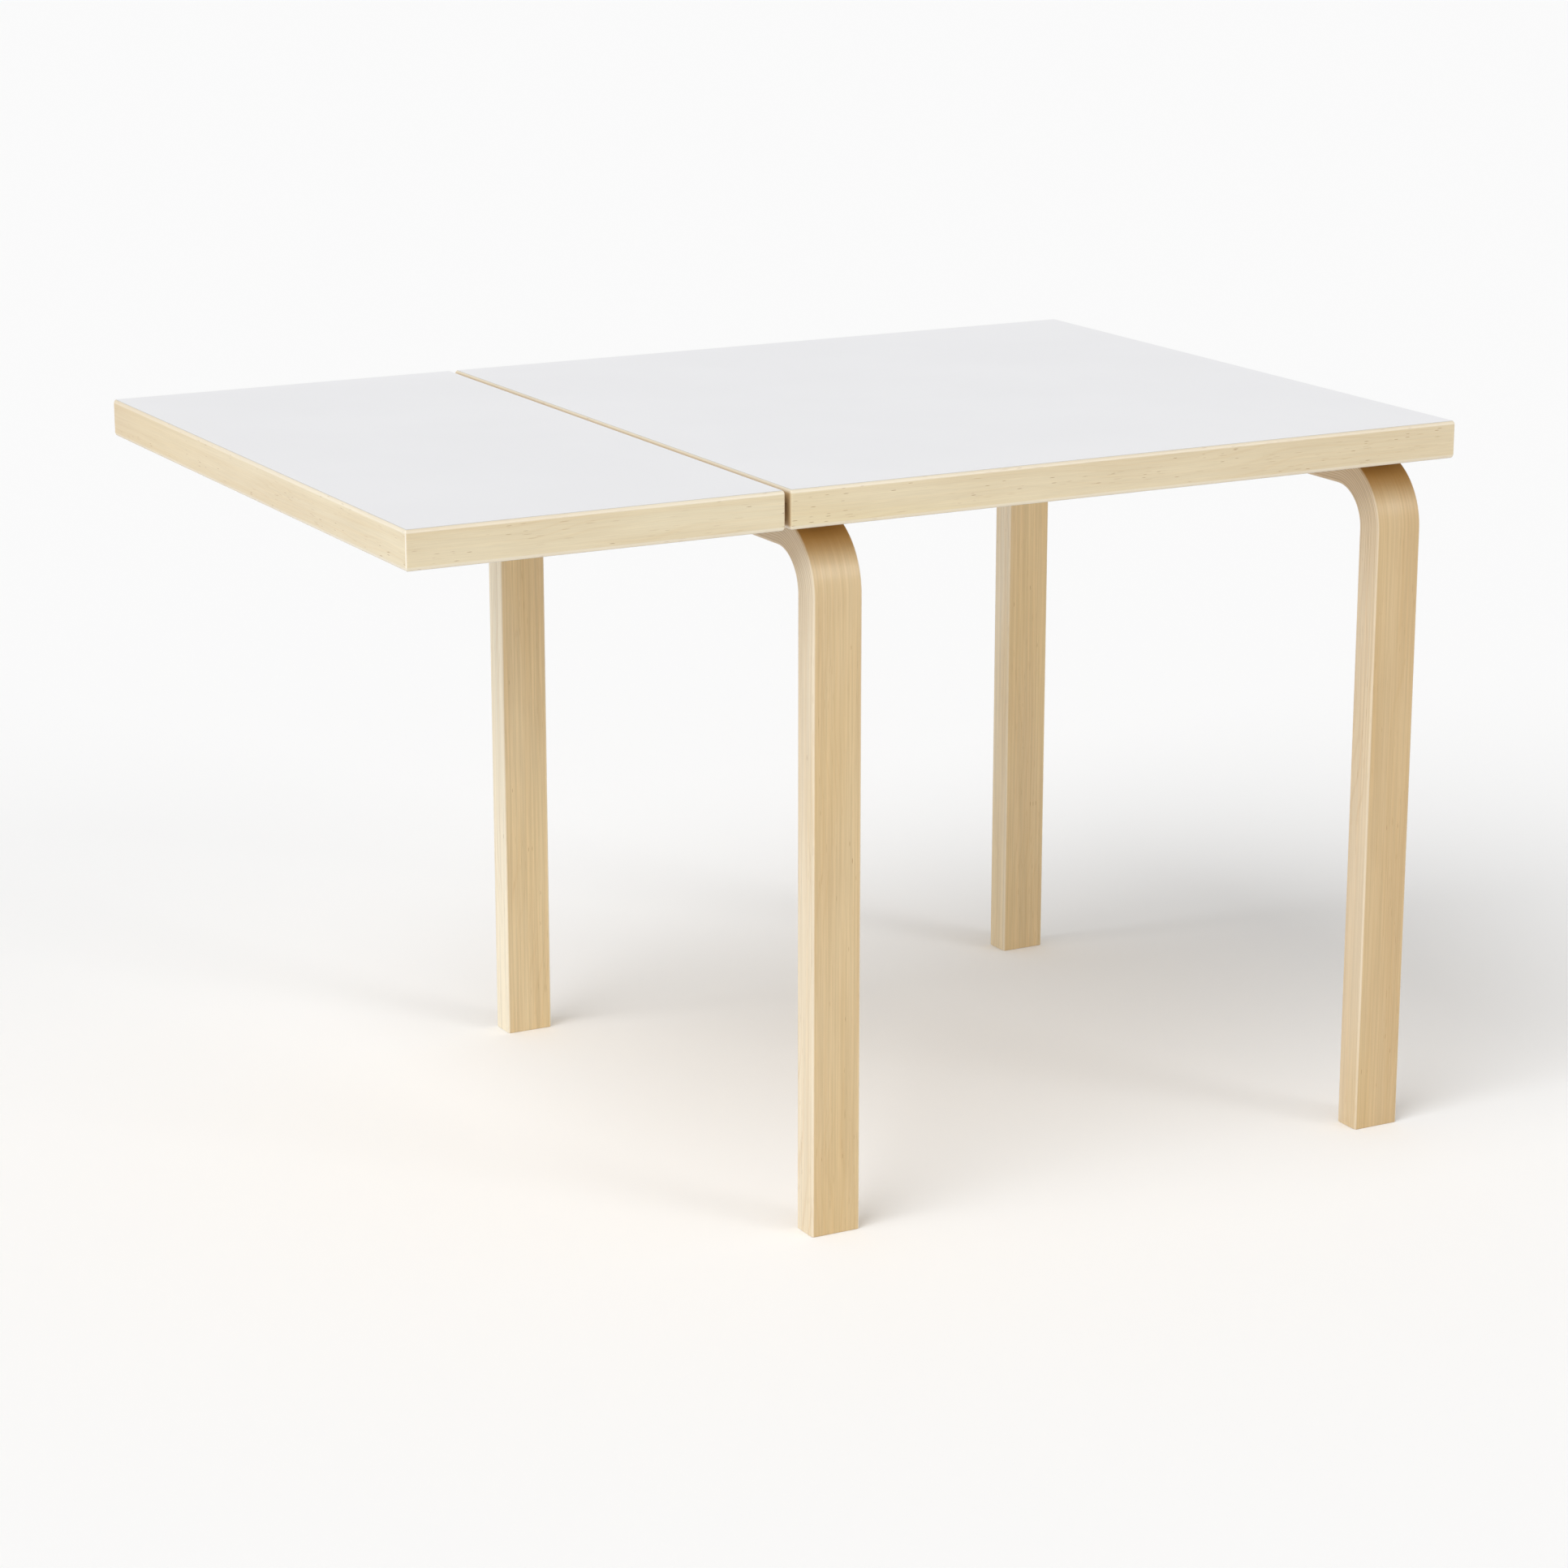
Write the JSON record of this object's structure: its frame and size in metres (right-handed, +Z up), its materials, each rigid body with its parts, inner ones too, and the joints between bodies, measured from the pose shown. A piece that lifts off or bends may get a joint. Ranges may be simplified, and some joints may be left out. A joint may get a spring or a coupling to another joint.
{
  "type": "drop-leaf table",
  "caption": "Drop-leaf table: a square white laminate top with birch edges on bent L-shaped birch legs, and a hinged half-size leaf at one end on a swing-down frame.",
  "frame": {"origin": "on the floor, at the centre of the table's plan with the leaf up", "axes": "+X along the table away from the leaf, +Y to the back, +Z up; the leaf is at the -X end"},
  "size_m": [1.13, 0.75, 0.735],
  "materials": {
    "laminate": "matt white high-pressure laminate with a very fine even texture",
    "backing": "clear-lacquered birch veneer, the balancing sheet under the top",
    "board_core": "raw pressed wood-chip board",
    "birch": "clear satin lacquer on pale birch with fine straight grain and small brown flecks",
    "steel": "satin bright steel",
    "zinc_steel": "bright zinc plating"
  },
  "bodies": {
    "main": {"hinge_back_main_plate": "steel", "hinge_back_pin": "steel", "hinge_front_main_plate": "steel", "hinge_front_pin": "steel", "hinge_middle_main_plate": "steel", "hinge_middle_pin": "steel", "hinge_screw_main_1": "zinc_steel", "hinge_screw_main_2": "zinc_steel", "hinge_screw_main_3": "zinc_steel", "hinge_screw_main_4": "zinc_steel", "hinge_screw_main_5": "zinc_steel", "hinge_screw_main_6": "zinc_steel", "leg_back_left": "birch", "leg_back_right": "birch", "leg_front_left": "birch", "leg_front_right": "birch", "leg_screw_back_left_1": "zinc_steel", "leg_screw_back_left_2": "zinc_steel", "leg_screw_back_left_3": "zinc_steel", "leg_screw_back_right_1": "zinc_steel", "leg_screw_back_right_2": "zinc_steel", "leg_screw_back_right_3": "zinc_steel", "leg_screw_front_left_1": "zinc_steel", "leg_screw_front_left_2": "zinc_steel", "leg_screw_front_left_3": "zinc_steel", "leg_screw_front_right_1": "zinc_steel", "leg_screw_front_right_2": "zinc_steel", "leg_screw_front_right_3": "zinc_steel", "main_backing": "backing", "main_core": "board_core", "main_laminate": "laminate", "main_lipping_back": "birch", "main_lipping_front": "birch", "main_lipping_left": "birch", "main_lipping_right": "birch", "prop_bracket_back": "steel", "prop_bracket_front": "steel", "prop_pin_back": "steel", "prop_pin_front": "steel"},
    "leaf": {"hinge_back_leaf_plate": "steel", "hinge_front_leaf_plate": "steel", "hinge_middle_leaf_plate": "steel", "hinge_screw_leaf_1": "zinc_steel", "hinge_screw_leaf_2": "zinc_steel", "hinge_screw_leaf_3": "zinc_steel", "hinge_screw_leaf_4": "zinc_steel", "hinge_screw_leaf_5": "zinc_steel", "hinge_screw_leaf_6": "zinc_steel", "leaf_backing": "backing", "leaf_cleat": "birch", "leaf_core": "board_core", "leaf_laminate": "laminate", "leaf_lipping_back": "birch", "leaf_lipping_front": "birch", "leaf_lipping_left": "birch", "leaf_lipping_right": "birch"},
    "prop": {"prop_arm_back": "birch", "prop_arm_front": "birch", "prop_crossbar": "birch"}
  },
  "joints": [
    {"name": "leaf_fold", "type": "hinge", "parent": "main", "child": "leaf", "pos_m": [-0.1875, 0, 0.693], "axis": [0, -1, 0], "range_deg": [0, 90]},
    {"name": "prop_swing", "type": "hinge", "parent": "main", "child": "prop", "pos_m": [-0.1735, 0, 0.6595], "axis": [0, -1, 0], "range_deg": [0, 97.5]}
  ],
  "couplings": [
    {"joint": "prop_swing", "follows": "leaf_fold", "ratio": 1.0832}
  ]
}
